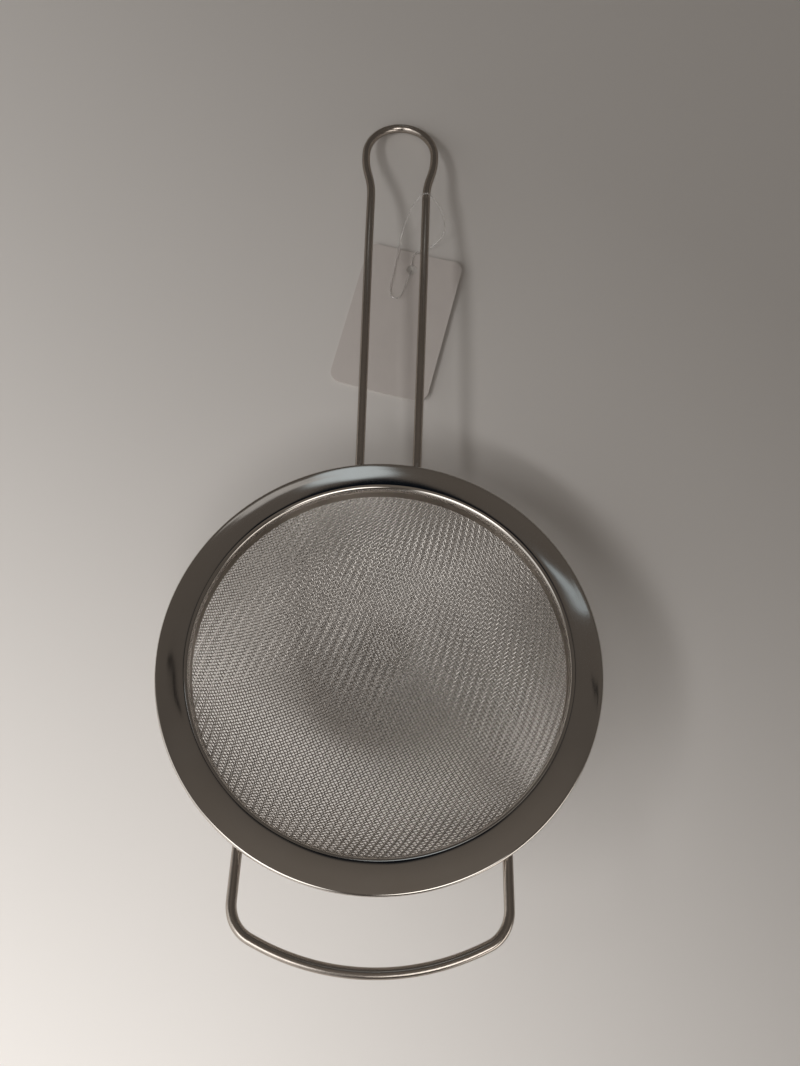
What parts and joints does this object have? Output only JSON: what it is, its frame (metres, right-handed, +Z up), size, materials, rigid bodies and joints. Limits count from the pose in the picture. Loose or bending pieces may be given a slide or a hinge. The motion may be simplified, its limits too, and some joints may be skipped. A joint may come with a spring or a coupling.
{
  "type": "mesh strainer",
  "caption": "Steel kitchen strainer: woven wire bowl in a flanged rim, bent wire handle with a hanging loop, a rest loop for a pot's edge and a blank hang tag.",
  "frame": {"origin": "on the table under the middle of the strainer's box, tag and loop not counted", "axes": "+Y along the strainer from the rest loop to the handle's tip, +Z up from the table, +X to the right"},
  "size_m": [0.14, 0.3152, 0.0722],
  "materials": {
    "polished_steel": "polished",
    "plain_steel": "satin",
    "wire_cloth": "drawn wire, woven",
    "wire_steel": "polished drawn wire",
    "card": "matt",
    "clear_plastic": "clear, glossy"
  },
  "bodies": {
    "root": {"rim_band": "polished_steel", "mesh_clamp_ring": "plain_steel", "mesh_bowl": "wire_cloth", "handle_wire": "wire_steel", "rest_loop_wire": "wire_steel", "hang_tag": "card", "tag_loop": "clear_plastic"}
  },
  "joints": []
}
